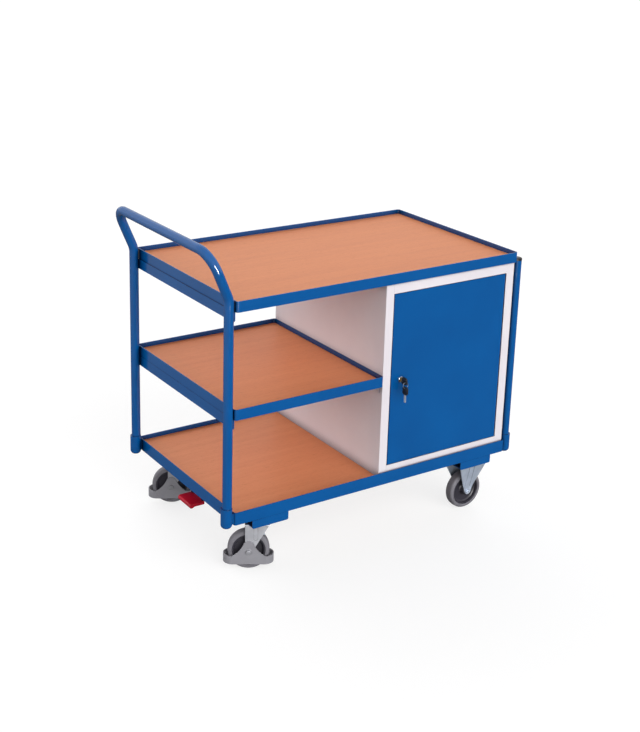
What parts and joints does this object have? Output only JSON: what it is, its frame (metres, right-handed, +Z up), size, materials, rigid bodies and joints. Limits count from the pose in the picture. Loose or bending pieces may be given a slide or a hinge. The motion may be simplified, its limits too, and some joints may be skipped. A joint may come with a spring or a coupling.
{
  "type": "mobile workbench",
  "caption": "Mobile workbench trolley with a leaning tube push handle, rimmed worktop, half shelf and lockable door cabinet, on braked swivel castors and fixed castors.",
  "frame": {"origin": "on the floor, under the middle of the overall length and width", "axes": "+X from the push handle to the cabinet end, +Y from the door side to the back, +Z up"},
  "size_m": [1.1304, 0.6464, 1.017],
  "materials": {
    "blue_paint": "powder coat",
    "grey_paint": "powder coat",
    "board": "beech decor, satin",
    "zinc": "zinc plated",
    "lock_metal": "nickel plated",
    "brass": "machined",
    "black_paint": "powder coat",
    "black_plastic": "moulded",
    "guard_plastic": "moulded",
    "rim_plastic": "moulded",
    "tyre": "solid rubber",
    "pedal_red": "moulded"
  },
  "bodies": {
    "frame": {"push_handle": "blue_paint", "right_posts": "blue_paint", "post_caps": "black_plastic", "post_sockets": "blue_paint", "top_deck_frame": "blue_paint", "top_deck_board": "board", "shelf_frame": "blue_paint", "shelf_board": "board", "bottom_deck_frame": "blue_paint", "bottom_deck_board": "board", "top_cross_rail": "blue_paint", "shelf_cross_rail": "blue_paint", "end_bar": "blue_paint", "shelf_support": "grey_paint", "deck_screws": "zinc", "cabinet_left_side": "grey_paint", "cabinet_right_side": "grey_paint", "cabinet_top": "grey_paint", "cabinet_floor": "grey_paint", "cabinet_back": "grey_paint", "cabinet_shelf": "grey_paint", "shelf_clips": "zinc", "hinge_pins": "zinc", "swivel_castor_channel": "blue_paint", "fixed_castor_channel": "blue_paint", "castor_bolts": "zinc", "swivel_plates": "zinc", "kingpins": "zinc", "fixed_forks": "zinc", "fixed_axles": "zinc", "shaft_brackets": "zinc"},
    "brake": {"brake_shaft": "zinc", "pedal_arms": "black_paint", "brake_pedal": "pedal_red"},
    "door": {"door_panel": "blue_paint", "hinge_sleeves": "zinc", "lock_housing": "lock_metal"},
    "lock": {"lock_plug": "brass", "lock_cam": "zinc", "key": "lock_metal", "key_head": "black_plastic", "key_ring": "lock_metal"},
    "spare": {"spare_key": "lock_metal", "spare_key_head": "black_plastic"},
    "front_swivel": {"front_swivel_fork": "zinc", "front_wheel_guard": "guard_plastic", "front_swivel_axle": "zinc"},
    "front_swivel_wheel": {"front_swivel_rim": "rim_plastic", "front_swivel_tyre": "tyre"},
    "front_shoe": {"front_brake_plunger": "zinc"},
    "front_fixed_wheel": {"front_fixed_rim": "rim_plastic", "front_fixed_tyre": "tyre"},
    "rear_swivel": {"rear_swivel_fork": "zinc", "rear_wheel_guard": "guard_plastic", "rear_swivel_axle": "zinc"},
    "rear_swivel_wheel": {"rear_swivel_rim": "rim_plastic", "rear_swivel_tyre": "tyre"},
    "rear_shoe": {"rear_brake_plunger": "zinc"},
    "rear_fixed_wheel": {"rear_fixed_rim": "rim_plastic", "rear_fixed_tyre": "tyre"}
  },
  "joints": [
    {"name": "pedal_press", "type": "hinge", "parent": "frame", "child": "brake", "pos_m": [-0.32075, 0.01175, 0.1845], "axis": [0, -1, 0], "range_deg": [0, 5]},
    {"name": "door_swing", "type": "hinge", "parent": "frame", "child": "door", "pos_m": [0.48525, -0.27975, 0.527], "axis": [0, 0, 1], "range_deg": [0, 100]},
    {"name": "lock_turn", "type": "hinge", "parent": "door", "child": "lock", "pos_m": [0.09875, -0.28675, 0.526], "axis": [0, 1, 0], "range_deg": [0, 90]},
    {"name": "spare_key_hang", "type": "hinge", "parent": "lock", "child": "spare", "pos_m": [0.09875, -0.31225, 0.5152], "axis": [0, 1, 0], "range_deg": [-95, 5]},
    {"name": "front_swivel_turn", "type": "hinge", "parent": "frame", "child": "front_swivel", "pos_m": [-0.35275, -0.23125, 0.156], "axis": [0, 0, 1], "continuous": true},
    {"name": "front_swivel_wheel_spin", "type": "hinge", "parent": "front_swivel", "child": "front_swivel_wheel", "pos_m": [-0.3822, -0.21425, 0.0625], "axis": [0.5, 0.866, 0], "continuous": true},
    {"name": "front_shoe_press", "type": "slide", "parent": "front_swivel", "child": "front_shoe", "axis": [0, 0, -1], "range_m": [0, 0.0031]},
    {"name": "front_fixed_wheel_spin", "type": "hinge", "parent": "frame", "child": "front_fixed_wheel", "pos_m": [0.42225, -0.23125, 0.0625], "axis": [0, 1, 0], "continuous": true},
    {"name": "rear_swivel_turn", "type": "hinge", "parent": "frame", "child": "rear_swivel", "pos_m": [-0.35275, 0.25475, 0.156], "axis": [0, 0, 1], "continuous": true},
    {"name": "rear_swivel_wheel_spin", "type": "hinge", "parent": "rear_swivel", "child": "rear_swivel_wheel", "pos_m": [-0.3822, 0.27175, 0.0625], "axis": [0.5, 0.866, 0], "continuous": true},
    {"name": "rear_shoe_press", "type": "slide", "parent": "rear_swivel", "child": "rear_shoe", "axis": [0, 0, -1], "range_m": [0, 0.0031]},
    {"name": "rear_fixed_wheel_spin", "type": "hinge", "parent": "frame", "child": "rear_fixed_wheel", "pos_m": [0.42225, 0.25475, 0.0625], "axis": [0, 1, 0], "continuous": true}
  ],
  "couplings": [
    {"joint": "spare_key_hang", "follows": "lock_turn", "ratio": -1},
    {"joint": "front_shoe_press", "follows": "pedal_press", "m_per_rad": 0.035},
    {"joint": "rear_shoe_press", "follows": "pedal_press", "m_per_rad": 0.035}
  ]
}
